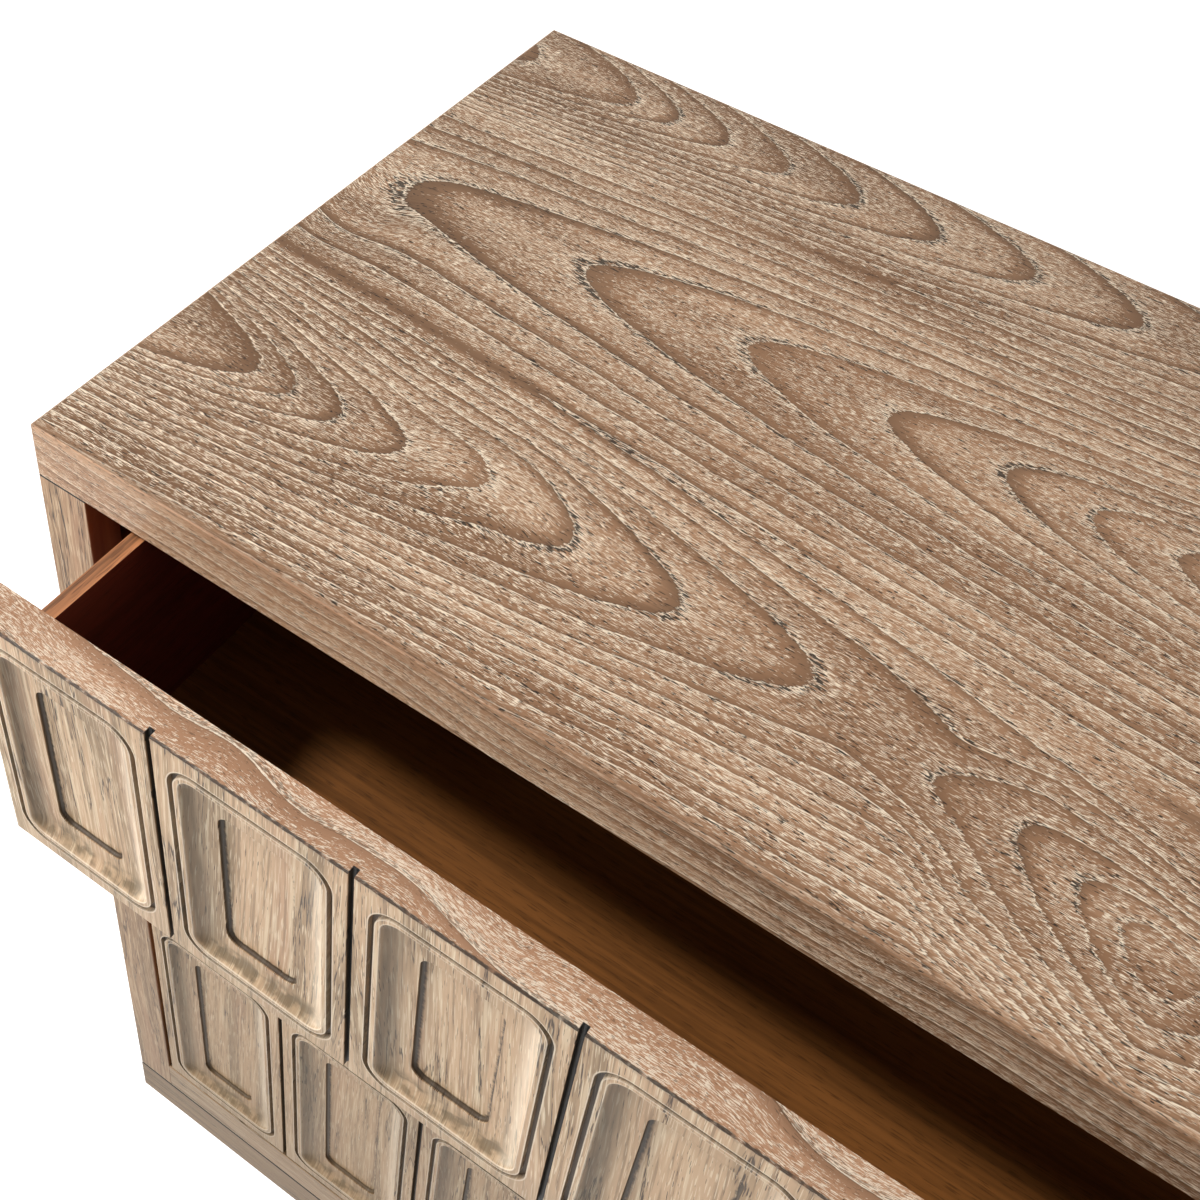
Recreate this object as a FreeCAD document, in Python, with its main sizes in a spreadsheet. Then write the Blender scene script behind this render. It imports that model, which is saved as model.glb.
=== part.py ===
import FreeCAD, Part
import math
import os

import Sketcher
from FreeCAD import Vector

# Block front chest: a case with three graduated inset drawers whose fronts are
# carved into a row of tall blocks. Millimetres, +Z up, the fronts face -Y.
# The origin is at the floor, under the middle of the whole chest with its top
# drawer standing open by drawer_open.

# Driving dimensions: alias, value, what it measures.
DRIVING = (
    ("plinth_height", 42.4, "height of the plinth frame"),
    ("plinth_thickness", 22.0, "thickness of the plinth boards"),
    ("block_size", 40.0, "side of the glue blocks in the plinth corners"),
    ("rail_height", 36.8, "height of the rail under the bottom drawer"),
    ("case_depth", 503.0, "case, front to back"),
    ("top_thickness", 38.0, "thickness of the top panel"),
    ("stile_width", 33.4, "width of the front stiles"),
    ("stile_depth", 22.0, "depth of the front stiles and bottom rail"),
    ("side_thickness", 18.0, "thickness of the side panels"),
    ("floor_thickness", 18.0, "thickness of the case floor"),
    ("floor_drop", 4.0, "case floor below the top of the bottom rail"),
    ("back_thickness", 8.0, "thickness of the back panel"),
    ("back_lip", 9.0, "side panel left outside the back panel"),
    ("cleat_size", 16.0, "section of the cleats under the top"),
    ("arris", 0.8, "easing on the edges of the show wood"),
    ("foot_arris", 2.0, "easing at the foot of the case, over the plinth"),
    ("front_arris", 1.2, "easing around a drawer front"),
    ("front_gap", 2.5, "gap above and below a drawer front"),
    ("end_gap", 3.4, "gap between a drawer front and a stile"),
    ("back_clearance", 3.2, "space behind a closed drawer front"),
    ("bottom_front", 256.0, "height of the bottom drawer front"),
    ("middle_front", 230.2, "height of the middle drawer front"),
    ("top_front", 200.0, "height of the top drawer front"),
    ("drawer_open", 84.8, "how far the top drawer stands open"),
    ("front_thickness", 22.8, "thickness of the drawer fronts"),
    ("block_count", 7, "carved blocks along a drawer front"),
    ("block_width", 117.0, "width of one block between grooves"),
    ("parting_width", 3.6, "width of the parting groove between blocks"),
    ("parting_depth", 4.2, "depth of the parting groove"),
    ("quirk_side", 8.4, "flat margin outside the quirk, at the sides"),
    ("quirk_top", 12.3, "flat margin outside the quirk, at the top"),
    ("quirk_bottom", 9.3, "flat margin outside the quirk, at the bottom"),
    ("quirk_width", 3.3, "width of the quirk, the groove that rings a block"),
    ("quirk_depth", 3.0, "depth of the quirk"),
    ("quirk_radius", 18.0, "outer corner radius of the quirk"),
    ("band_width", 3.2, "flat band between the quirk and the cove"),
    ("cove_depth", 4.8, "depth of the coved field"),
    ("cove_lean", 38.7, "lean of the cove at its rim, in degrees"),
    ("cove_radius", 12.2, "radius of the cove"),
    ("recess_inset", 26.5, "recess from the outside of the quirk"),
    ("recess_depth", 2.8, "depth of the recess below the field"),
    ("recess_radius", 9.0, "corner radius of the recess"),
    ("recess_sweep", 1.6, "radius at the foot of the recess wall"),
    ("box_side", 9.0, "thickness of a drawer side"),
    ("box_back", 12.0, "thickness of a drawer back"),
    ("box_bottom", 6.0, "thickness of a drawer bottom"),
    ("box_clearance", 32.2, "space between a closed drawer and the back panel"),
    ("box_lift", 40.0, "drawer side above the foot of its front"),
    ("bottom_rise", 9.8, "drawer bottom above the foot of the sides"),
    ("dado_depth", 4.5, "depth of the groove that holds a drawer bottom"),
    ("runner_thickness", 34.3, "thickness of the wood runners"),
    ("runner_height", 60.0, "height of the wood runners"),
    ("slide_rise", 75.0, "middle of a slide above the foot of the sides"),
    ("slide_thickness", 12.7, "space that a drawer slide takes up"),
    ("slide_height", 45.0, "height of a drawer slide"),
    ("slide_short", 40.0, "drawer slide shorter than a drawer side"),
    ("slide_setback", 2.0, "slide behind the front end of its runner"),
    ("slide_steel", 1.2, "sheet thickness of the slide members"),
    ("slide_play", 0.4, "running play between two slide members"),
    ("slide_lap", 3.2, "case member's lips short of the drawer side"),
    ("member_lap", 2.3, "middle member's lips short of the drawer side"),
    ("divider_height", 22.0, "height of the rails between drawers"),
    ("divider_width", 60.0, "rails between drawers, front to back"),
    ("divider_lift", 5.0, "divider rail above the foot of the front it hides behind"),
    ("screw_head", 7.0, "head diameter of the back panel screws"),
    ("screw_head_height", 2.0, "head height of the back panel screws"),
    ("screw_shank", 3.5, "shank diameter of the back panel screws"),
    ("screw_length", 26.0, "length of the back panel screws under the head"),
    ("screw_margin", 60.0, "end screws from the ends of the back panel"),
)

# Derived dimensions, in an order in which each needs only those above it.
DERIVED = (
    ("block_pitch", "block_width + parting_width"),
    ("front_length", "block_count * block_width + (block_count - 1) * parting_width"),
    ("case_width", "front_length + 2 * (end_gap + stile_width)"),
    ("left_x", "-case_width / 2"),
    ("face_y", "(drawer_open - case_depth - screw_head_height) / 2"),
    ("rear_y", "face_y + case_depth"),
    ("rail_top", "plinth_height + rail_height"),
    ("bottom_z", "rail_top + front_gap"),
    ("middle_z", "bottom_z + bottom_front + front_gap"),
    ("top_z", "middle_z + middle_front + front_gap"),
    ("case_top", "top_z + top_front + front_gap"),
    ("case_side", "case_top - plinth_height"),
    ("back_y", "rear_y - back_thickness"),
    ("runner_y", "face_y + front_thickness + back_clearance"),
    ("slide_y", "runner_y + slide_setback"),
    ("runner_x", "side_thickness + runner_thickness"),
    ("box_x", "runner_x + slide_thickness"),
    ("box_width", "case_width - 2 * box_x"),
    ("box_length", "case_depth - front_thickness - back_thickness - box_clearance"),
    ("slide_length", "box_length - slide_short"),
    ("member_height", "slide_height - 2 * (slide_steel + slide_play)"),
    ("inner_height", "member_height - 2 * (slide_steel + slide_play)"),
)

SCREWS_PER_SIDE = 4
TOUCH = 1e-4
DRAWERS = (("top", "drawer_open"), ("middle", "0"), ("bottom", "0"))

doc = FreeCAD.newDocument("block_front_chest")
sheet = doc.addObject("Spreadsheet::Sheet", "Dims")


def fill_sheet():
    """Write every dimension to the sheet, each with its alias and its note."""
    rows = [(alias, str(value), note) for alias, value, note in DRIVING]
    rows += [(alias, "=" + formula, "worked out") for alias, formula in DERIVED]
    for row, (alias, content, note) in enumerate(rows, start=1):
        sheet.set(f"A{row}", alias)
        sheet.set(f"B{row}", content)
        sheet.set(f"C{row}", note)
        sheet.setAlias(f"B{row}", alias)
    doc.recompute()


fill_sheet()
ALIASES = {row[0] for row in DRIVING + DERIVED}


def number(formula):
    """The value of a formula in the sheet's aliases."""
    return float(sheet.evalExpression(str(formula)))


def bound(formula):
    """The same formula as another object of the document reads it."""
    words = []
    word = ""
    for letter in str(formula) + " ":
        if letter.isalnum() or letter == "_":
            word += letter
            continue
        words.append("Dims." + word if word in ALIASES else word)
        words.append(letter)
        word = ""
    return "".join(words).strip()


def bind(item, name, formula):
    item.setExpression(name, bound(formula))


def place(item, x, y, z):
    """Tie an object's position to three formulas."""
    item.Placement.Base = Vector(number(x), number(y), number(z))
    bind(item, "Placement.Base.x", x)
    bind(item, "Placement.Base.y", y)
    bind(item, "Placement.Base.z", z)


# Boards and boxes ----------------------------------------------------------


def add_box(name, size, at):
    """A Part::Box whose three sizes and position are formulas."""
    box = doc.addObject("Part::Box", name)
    for side, formula in zip(("Length", "Width", "Height"), size):
        setattr(box, side, number(formula))
        bind(box, side, formula)
    place(box, *at)
    return box


def origin_item(body, role):
    return next(item for item in body.Origin.OriginFeatures if item.Role == role)


def add_sketch(body, name, role):
    sketch = body.newObject("Sketcher::SketchObject", name)
    sketch.AttachmentSupport = [(origin_item(body, role), "")]
    sketch.MapMode = "FlatFace"
    return sketch


def name_constraint(sketch, index, label, formula):
    """Name a sketch's dimension and tie it to a formula."""
    sketch.renameConstraint(index, label)
    bind(sketch, "Constraints." + label, formula)


def pin_point(sketch, edge, point, label, x, y):
    """Hold a point of the sketch at two formulas from the sketch's origin."""
    across = Sketcher.Constraint("DistanceX", -1, 1, edge, point, number(x))
    name_constraint(sketch, sketch.addConstraint(across), label + "_x", x)
    upward = Sketcher.Constraint("DistanceY", -1, 1, edge, point, number(y))
    name_constraint(sketch, sketch.addConstraint(upward), label + "_y", y)


def add_outline(sketch, corners):
    """A closed outline of straight lines through (x, y) formulas."""
    points = [Vector(number(x), number(y), 0) for x, y in corners]
    lines = [Part.LineSegment(start, end) for start, end in zip(points, points[1:] + points[:1])]
    sketch.addGeometry(lines, False)
    for edge in range(len(lines)):
        following = (edge + 1) % len(lines)
        sketch.addConstraint(Sketcher.Constraint("Coincident", edge, 2, following, 1))
    for edge, (x, y) in enumerate(corners):
        pin_point(sketch, edge, 1, f"corner_{edge + 1}", x, y)


def add_rounded_rectangle(sketch, label, left, foot, width, height, radius):
    """A rectangle with four round corners, from its lower left corner."""
    x, y, w, d, r = (number(value) for value in (left, foot, width, height, radius))
    first = sketch.GeometryCount
    centres = ((x + w - r, y + r), (x + w - r, y + d - r), (x + r, y + d - r), (x + r, y + r))
    ends = (
        (Vector(x + r, y, 0), Vector(x + w - r, y, 0)),
        (Vector(x + w, y + r, 0), Vector(x + w, y + d - r, 0)),
        (Vector(x + w - r, y + d, 0), Vector(x + r, y + d, 0)),
        (Vector(x, y + d - r, 0), Vector(x, y + r, 0)),
    )
    pieces = []
    for turn, ((start, end), centre) in enumerate(zip(ends, centres)):
        circle = Part.Circle(Vector(*centre, 0), Vector(0, 0, 1), r)
        angle = (turn - 1) * math.pi / 2
        pieces.append(Part.LineSegment(start, end))
        pieces.append(Part.ArcOfCircle(circle, angle, angle + math.pi / 2))
    sketch.addGeometry(pieces, False)
    sides = [first + 2 * turn for turn in range(4)]
    for turn, side in enumerate(sides):
        following = sides[(turn + 1) % 4]
        sketch.addConstraint(Sketcher.Constraint("Tangent", side, 2, side + 1, 1))
        sketch.addConstraint(Sketcher.Constraint("Tangent", side + 1, 2, following, 1))
        level = "Horizontal" if turn % 2 == 0 else "Vertical"
        sketch.addConstraint(Sketcher.Constraint(level, side))
        if turn:
            sketch.addConstraint(Sketcher.Constraint("Equal", sides[0] + 1, side + 1))
    corner = Sketcher.Constraint("Radius", sides[0] + 1, r)
    name_constraint(sketch, sketch.addConstraint(corner), label + "_radius", radius)
    edges = (
        ("DistanceX", sides[3], "_left", left),
        ("DistanceX", sides[1], "_right", f"{left} + {width}"),
        ("DistanceY", sides[0], "_foot", foot),
        ("DistanceY", sides[2], "_head", f"{foot} + {height}"),
    )
    for kind, side, ending, formula in edges:
        distance = Sketcher.Constraint(kind, -1, 1, side, 1, number(formula))
        name_constraint(sketch, sketch.addConstraint(distance), label + ending, formula)


def add_pad(body, name, sketch, length, reverse=False):
    pad = body.newObject("PartDesign::Pad", name)
    pad.Profile = sketch
    pad.Length = number(length)
    bind(pad, "Length", length)
    pad.Reversed = reverse
    doc.recompute()
    return pad


def add_pocket(body, name, sketch, depth):
    """Cut a sketch into the body and make sure that it cut something."""
    before = body.Shape.Volume
    pocket = body.newObject("PartDesign::Pocket", name)
    pocket.Profile = sketch
    pocket.Length = number(depth)
    bind(pocket, "Length", depth)
    doc.recompute()
    if not pocket.Shape.Volume < before:
        raise RuntimeError(f"{name} cut nothing")
    return pocket


def running(*axes):
    """Pick the straight edges that run along the given axes."""
    def picks(edge):
        box = edge.BoundBox
        spans = {"x": box.XLength, "y": box.YLength, "z": box.ZLength}
        long_axes = [axis for axis, span in spans.items() if span > TOUCH]
        return len(long_axes) == 1 and long_axes[0] in axes
    return picks


def lies(edge, axis, formula):
    """Whether an edge lies in the plane at one place along an axis of its body."""
    box = edge.BoundBox
    ends = {"x": (box.XMin, box.XMax), "y": (box.YMin, box.YMax), "z": (box.ZMin, box.ZMax)}
    return max(abs(end - number(formula)) for end in ends[axis]) < TOUCH


def at_x(formula):
    return lambda edge: lies(edge, "x", formula)


def at_foot(*faces):
    """Pick the edges at the foot of a board that lie in the given faces."""
    return lambda edge: lies(edge, "z", "0") and any(lies(edge, *face) for face in faces)


def above_foot(picks):
    """Keep of a pick the edges that reach above the eased foot of a board."""
    return lambda edge: picks(edge) and edge.BoundBox.ZMax > number("foot_arris") + TOUCH


def edge_names(shape, picks):
    return [f"Edge{index}" for index, edge in enumerate(shape.Edges, start=1) if picks(edge)]


def round_edges(body, name, picks, radius):
    """Round the chosen edges of a body as it stands so far."""
    base = body.Tip
    fillet = body.newObject("PartDesign::Fillet", name)
    fillet.Base = (base, edge_names(base.Shape, picks))
    fillet.Radius = number(radius)
    bind(fillet, "Radius", radius)
    doc.recompute()


def add_board(name, role, corners, length, at, reverse=False, foot=None, eased=None):
    """A board or bar: an outline on one of the body's planes, padded and eased."""
    body = doc.addObject("PartDesign::Body", name)
    sketch = add_sketch(body, name + "_section", role)
    add_outline(sketch, corners)
    add_pad(body, name + "_pad", sketch, length, reverse)
    if foot:
        round_edges(body, "eased_foot", foot, "foot_arris")
    if eased:
        round_edges(body, "eased_edges", eased, "arris")
    place(body, *at)
    return body


def rectangle(width, height):
    return [("0", "0"), (width, "0"), (width, height), ("0", height)]


# Case ----------------------------------------------------------------------


def make_top():
    size = rectangle("case_width", "case_depth")
    at = ("left_x", "face_y", "case_top")
    return [add_board("top_panel", "XY_Plane", size, "top_thickness", at, eased=running("x", "y", "z"))]


def make_plinth():
    """Four boards, mitred at the corners, and a glue block in each corner."""
    thick = "plinth_thickness"
    near = [("0", "0"), ("case_width", "0"), (f"case_width - {thick}", thick), (thick, thick)]
    far = [(thick, "0"), (f"case_width - {thick}", "0"), ("case_width", thick), ("0", thick)]
    left = [("0", "0"), (thick, thick), (thick, f"case_depth - {thick}"), ("0", "case_depth")]
    right = [(thick, "0"), (thick, "case_depth"), ("0", f"case_depth - {thick}"), ("0", thick)]
    boards = (
        ("plinth_front", near, ("left_x", "face_y", "0"), "x"),
        ("plinth_back", far, ("left_x", f"rear_y - {thick}", "0"), "x"),
        ("plinth_left", left, ("left_x", "face_y", "0"), "y"),
        ("plinth_right", right, (f"-left_x - {thick}", "face_y", "0"), "y"),
    )
    made = []
    for name, outline, at, axis in boards:
        made.append(add_board(name, "XY_Plane", outline, "plinth_height", at, eased=running(axis)))
    blocks = []
    for x_name, x in (("left", f"left_x + {thick}"), ("right", f"-left_x - {thick} - block_size")):
        for y_name, y in (("front", f"face_y + {thick}"), ("back", f"rear_y - {thick} - block_size")):
            at = (x, y, "plinth_height - block_size")
            size = ("block_size", "block_size", "block_size")
            blocks.append(add_box(f"glue_block_{y_name}_{x_name}", size, at))
    group = doc.addObject("Part::Compound", "plinth_glue_blocks")
    group.Links = blocks
    return made + [group]


def screw_rows():
    """Where the back panel screws stand: name, x and z formulas."""
    rows = []
    for side, x in (("left", "left_x + (back_lip + side_thickness) / 2"),
                    ("right", "-left_x - (back_lip + side_thickness) / 2")):
        for step in range(SCREWS_PER_SIDE):
            share = f"{step} / {SCREWS_PER_SIDE - 1}"
            z = f"plinth_height + screw_margin + (case_side - 2 * screw_margin) * {share}"
            rows.append((f"{side}_{step + 1}", x, z))
    return rows


def add_pin(name, diameter, length, x, y, z):
    """A cylinder that points along -Y from its rear end."""
    pin = doc.addObject("Part::Cylinder", name)
    pin.Radius = number(diameter) / 2
    pin.Height = number(length)
    bind(pin, "Radius", f"{diameter} / 2")
    bind(pin, "Height", length)
    pin.Placement.Rotation = FreeCAD.Rotation(Vector(1, 0, 0), 90)
    place(pin, x, y, z)
    return pin


def cut_holes(name, board):
    """Cut the back panel screws' shank holes out of a board."""
    holes = [
        add_pin(f"{name}_hole_{mark}", "screw_shank", "screw_length", x, "rear_y", z)
        for mark, x, z in screw_rows()
        if name == "back_panel" or name.startswith(mark.split("_")[0])
    ]
    tool = doc.addObject("Part::MultiFuse", name + "_holes")
    tool.Shapes = holes
    drilled = doc.addObject("Part::Cut", name)
    drilled.Base = board
    drilled.Tool = tool
    return drilled


def make_sides():
    """Side panels, rebated for the back panel and drilled for its screws."""
    inner = "case_depth - stile_depth"
    rebate = "case_depth - stile_depth - back_thickness"
    left = [("0", "0"), ("side_thickness", "0"), ("side_thickness", rebate),
            ("back_lip", rebate), ("back_lip", inner), ("0", inner)]
    right = [("0", "0"), ("side_thickness", "0"), ("side_thickness", inner),
             ("side_thickness - back_lip", inner), ("side_thickness - back_lip", rebate), ("0", rebate)]
    made = []
    sides = (
        ("left", left, "left_x", "0"),
        ("right", right, "-left_x - side_thickness", "side_thickness"),
    )
    for side, outline, x, outside in sides:
        at = (x, "face_y + stile_depth", "plinth_height")
        board = add_board(
            f"blank_{side}_side", "XY_Plane", outline, "case_side", at,
            foot=at_foot(("x", outside)), eased=above_foot(at_x(outside)))
        made.append(cut_holes(f"{side}_side_panel", board))
    return made


def make_back():
    size = ("case_width - 2 * back_lip", "back_thickness", "case_side")
    panel = add_box("blank_back", size, ("left_x + back_lip", "back_y", "plinth_height"))
    screws = []
    for mark, x, z in screw_rows():
        head = add_pin(f"head_{mark}", "screw_head", "screw_head_height", x, "rear_y + screw_head_height", z)
        shank = add_pin(f"shank_{mark}", "screw_shank", "screw_length", x, "rear_y", z)
        screw = doc.addObject("Part::MultiFuse", f"screw_{mark}")
        screw.Shapes = [head, shank]
        screws.append(screw)
    group = doc.addObject("Part::Compound", "back_panel_screws")
    group.Links = screws
    return [cut_holes("back_panel", panel), group]


def make_frame():
    """Stiles, bottom rail, case floor, divider rails and the cleats under the top."""
    stile = rectangle("stile_width", "stile_depth")
    made = []
    for side, x, outside in (("left", "left_x", "0"), ("right", "-left_x - stile_width", "stile_width")):
        made.append(add_board(
            f"{side}_stile", "XY_Plane", stile, "case_side", (x, "face_y", "plinth_height"),
            foot=at_foot(("x", outside), ("y", "0")), eased=above_foot(running("x", "y", "z"))))
    rail = rectangle("case_width - 2 * stile_width", "rail_height")
    at = ("left_x + stile_width", "face_y", "plinth_height")
    made.append(add_board(
        "bottom_rail", "XZ_Plane", rail, "stile_depth", at, reverse=True,
        foot=at_foot(("y", "0")), eased=above_foot(running("x"))))
    inside = "case_width - 2 * side_thickness"
    inner_x = "left_x + side_thickness"
    size = (inside, "back_y - face_y - stile_depth", "floor_thickness")
    at = (inner_x, "face_y + stile_depth", "rail_top - floor_drop - floor_thickness")
    made.append(add_box("case_floor", size, at))
    for name, foot in (("upper_divider_rail", "top_z"), ("lower_divider_rail", "middle_z")):
        size = (inside, "divider_width", "divider_height")
        made.append(add_box(name, size, (inner_x, "runner_y", f"{foot} + divider_lift")))
    cleat = "cleat_size"
    cleat_z = f"case_top - {cleat}"
    size = (inside, cleat, cleat)
    made.append(add_box("back_top_cleat", size, (inner_x, f"back_y - {cleat}", cleat_z)))
    size = (cleat, f"back_y - {cleat} - runner_y", cleat)
    for side, x in (("left", inner_x), ("right", f"-left_x - side_thickness - {cleat}")):
        made.append(add_box(f"{side}_top_cleat", size, (x, "runner_y", cleat_z)))
    return made


# Drawer slides -------------------------------------------------------------


def channel(reach, height, web_at_reach):
    """Section of a steel channel, in X and Z, open away from its web."""
    steel = "slide_steel"
    inner_top = f"{height} - {steel}"
    if web_at_reach:
        web = f"{reach} - {steel}"
        return [("0", "0"), (reach, "0"), (reach, height), ("0", height),
                ("0", inner_top), (web, inner_top), (web, steel), ("0", steel)]
    return [("0", "0"), (reach, "0"), (reach, steel), (steel, steel),
            (steel, inner_top), (reach, inner_top), (reach, height), ("0", height)]


def make_slides(drawer, opening):
    """Both runners of one drawer, with a three-member slide on each."""
    foot = f"{drawer}_z + box_lift + slide_rise"
    step = "slide_steel + slide_play"
    case_reach = "slide_thickness - slide_lap"
    middle_reach = f"slide_thickness - member_lap - ({step})"
    inner_reach = f"slide_thickness - 2 * ({step})"
    made = []
    for side in ("left", "right"):
        left = side == "left"

        def from_side(offset, width):
            """X of a piece whose near face lies offset from the outside of the case."""
            return f"left_x + {offset}" if left else f"-left_x - ({offset}) - ({width})"

        size = ("runner_thickness", "back_y - runner_y", "runner_height")
        at = (from_side("side_thickness", "runner_thickness"), "runner_y", f"{foot} - runner_height / 2")
        made.append(add_box(f"{drawer}_{side}_runner", size, at))
        members = (
            ("case_member", "runner_x", case_reach, "slide_height", not left, "0"),
            ("middle_member", f"runner_x + {step}", middle_reach, "member_height", not left, f"{opening} / 2"),
            ("drawer_member", f"runner_x + 2 * ({step})", inner_reach, "inner_height", left, opening),
        )
        for member, offset, reach, height, web_at_reach, shift in members:
            at = (from_side(offset, reach), f"slide_y - {shift}", f"{foot} - {height} / 2")
            section = channel(reach, height, web_at_reach)
            name = f"{drawer}_{side}_{member}"
            made.append(add_board(name, "XZ_Plane", section, "slide_length", at, reverse=True))
    return made


# Drawers -------------------------------------------------------------------


def add_parting_groove(body, name):
    """The round-bottomed groove after the first block, cut down the whole front."""
    sketch = add_sketch(body, name, "XY_Plane")
    middle = "block_width + parting_width / 2"
    half = "parting_width / 2"
    spring = f"parting_depth - {half}"
    x, r, y = number(middle), number(half), number(spring)
    circle = Part.Circle(Vector(x, y, 0), Vector(0, 0, 1), r)
    sketch.addGeometry([
        Part.LineSegment(Vector(x + r, 0, 0), Vector(x + r, y, 0)),
        Part.ArcOfCircle(circle, 0, math.pi),
        Part.LineSegment(Vector(x - r, y, 0), Vector(x - r, 0, 0)),
        Part.LineSegment(Vector(x - r, 0, 0), Vector(x + r, 0, 0)),
    ], False)
    for first, first_point, second, second_point in ((0, 2, 1, 1), (1, 2, 2, 1)):
        sketch.addConstraint(Sketcher.Constraint("Tangent", first, first_point, second, second_point))
    for first, second in ((2, 3), (3, 0)):
        sketch.addConstraint(Sketcher.Constraint("Coincident", first, 2, second, 1))
    for edge in (0, 2):
        sketch.addConstraint(Sketcher.Constraint("Vertical", edge))
    sketch.addConstraint(Sketcher.Constraint("PointOnObject", 3, 1, -1))
    sketch.addConstraint(Sketcher.Constraint("PointOnObject", 3, 2, -1))
    pin_point(sketch, 1, 3, "spring", middle, spring)
    radius = sketch.addConstraint(Sketcher.Constraint("Radius", 1, r))
    name_constraint(sketch, radius, "groove_radius", half)
    before = body.Shape.Volume
    groove = body.newObject("PartDesign::Pocket", name + "_cut")
    groove.Profile = sketch
    groove.Type = "ThroughAll"
    groove.Reversed = True
    doc.recompute()
    if not groove.Shape.Volume < before:
        raise RuntimeError(f"{name} cut nothing")
    return groove


def add_ring(body, name, inset, width_of_ring, depth, height, lean=None, radius=None):
    """Pocket a rounded rectangle, or a ring of one, inset from the quirk's outside."""
    sketch = add_sketch(body, name, "XZ_Plane")
    corner = radius or f"quirk_radius - ({inset})"
    tall = f"{height} - quirk_bottom - quirk_top - 2 * ({inset})"
    wide = f"block_width - 2 * (quirk_side + {inset})"
    add_rounded_rectangle(sketch, "outer", f"quirk_side + {inset}", f"quirk_bottom + {inset}", wide, tall, corner)
    if width_of_ring:
        inner = f"{inset} + {width_of_ring}"
        add_rounded_rectangle(
            sketch, "inner", f"quirk_side + {inner}", f"quirk_bottom + {inner}",
            f"{wide} - 2 * {width_of_ring}", f"{tall} - 2 * {width_of_ring}", f"{corner} - {width_of_ring}")
    pocket = add_pocket(body, name + "_cut", sketch, depth)
    if lean:
        pocket.TaperAngle = -number(lean)
        bind(pocket, "TaperAngle", f"-{lean}")
        doc.recompute()
    return pocket


def add_pattern(body, name, features, count):
    """Repeat cuts along the front, one block's pitch apart."""
    pattern = body.newObject("PartDesign::LinearPattern", name)
    pattern.Originals = features
    pattern.Direction = (origin_item(body, "X_Axis"), [""])
    pattern.Length = number(f"block_pitch * ({count} - 1)")
    bind(pattern, "Length", f"block_pitch * ({count} - 1)")
    pattern.Occurrences = int(number(count))
    bind(pattern, "Occurrences", count)
    body.Tip = pattern
    doc.recompute()
    return pattern


def at_depth(formula):
    """Pick the edges that lie flat at one depth behind the front's face."""
    return lambda edge: lies(edge, "y", formula)


def on_outline(whole):
    """Pick the edges of the front's face that run along its outline."""
    def picks(edge):
        box = edge.BoundBox
        level = box.ZLength < TOUCH and min(box.ZMin - whole.ZMin, whole.ZMax - box.ZMax) < TOUCH
        upright = box.XLength < TOUCH and min(box.XMin - whole.XMin, whole.XMax - box.XMax) < TOUCH
        return box.YMax - whole.YMin < TOUCH and (level or upright)
    return picks


def in_cove(height):
    """Pick the edges of the field, and leave out the rim of its recess."""
    side = number("quirk_side + recess_inset") - TOUCH
    foot = number("quirk_bottom + recess_inset") - TOUCH
    head = number(f"{height} - quirk_top - recess_inset") + TOUCH
    flat = at_depth("cove_depth")

    def picks(edge):
        middle = edge.BoundBox.Center
        across = middle.x % number("block_pitch")
        beside = across < side or across > number("block_width") - side
        return flat(edge) and (beside or middle.z < foot or middle.z > head)
    return picks


def make_front(drawer, opening):
    """One board, carved with a row of blocks."""
    height = f"{drawer}_front"
    body = doc.addObject("PartDesign::Body", f"{drawer}_drawer_front")
    board = add_sketch(body, "board", "XZ_Plane")
    add_outline(board, rectangle("front_length", height))
    add_pad(body, "board_pad", board, "front_thickness", reverse=True)
    quirk = add_ring(body, "quirk", "0", "quirk_width", "quirk_depth", height)
    cove = add_ring(body, "cove", "quirk_width + band_width", None, "cove_depth", height, lean="cove_lean")
    floor = "cove_depth + recess_depth"
    recess = add_ring(body, "recess", "recess_inset", None, floor, height, radius="recess_radius")
    add_pattern(body, "block_row", [quirk, cove, recess], "block_count")
    groove = add_parting_groove(body, "parting")
    add_pattern(body, "parting_row", [groove], "block_count - 1")
    round_edges(body, "recess_foot", at_depth(floor), "recess_sweep")
    round_edges(body, "cove_hollow", in_cove(height), "cove_radius")
    round_edges(body, "eased_outline", on_outline(body.Shape.BoundBox), "front_arris")
    place(body, "left_x + stile_width + end_gap", f"face_y - {opening}", f"{drawer}_z")
    return body


def make_box(drawer, opening):
    """A drawer's sides, back and bottom behind its front."""
    box_y = f"face_y + front_thickness - {opening}"
    foot = f"{drawer}_z + box_lift"
    tall = f"{drawer}_front - box_lift"
    made = []
    for side, x, dado_x in (
        ("left", "left_x + box_x", "left_x + box_x + box_side - dado_depth"),
        ("right", "-left_x - box_x - box_side", "-left_x - box_x - box_side"),
    ):
        blank = add_box(f"blank_{drawer}_{side}", ("box_side", "box_length", tall), (x, box_y, foot))
        at = (dado_x, box_y, f"{foot} + bottom_rise")
        dado = add_box(f"dado_{drawer}_{side}", ("dado_depth", "box_length", "box_bottom"), at)
        board = doc.addObject("Part::Cut", f"{drawer}_drawer_{side}_side")
        board.Base = blank
        board.Tool = dado
        made.append(board)
    size = ("box_width - 2 * (box_side - dado_depth)", "box_length", "box_bottom")
    at = ("left_x + box_x + box_side - dado_depth", box_y, f"{foot} + bottom_rise")
    made.append(add_box(f"{drawer}_drawer_bottom", size, at))
    size = ("box_width - 2 * box_side", "box_back", f"{tall} - bottom_rise - box_bottom")
    at = ("left_x + box_x + box_side", f"{box_y} + box_length - box_back", f"{foot} + bottom_rise + box_bottom")
    made.append(add_box(f"{drawer}_drawer_back", size, at))
    return made


# Build, check and write ------------------------------------------------------

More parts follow.
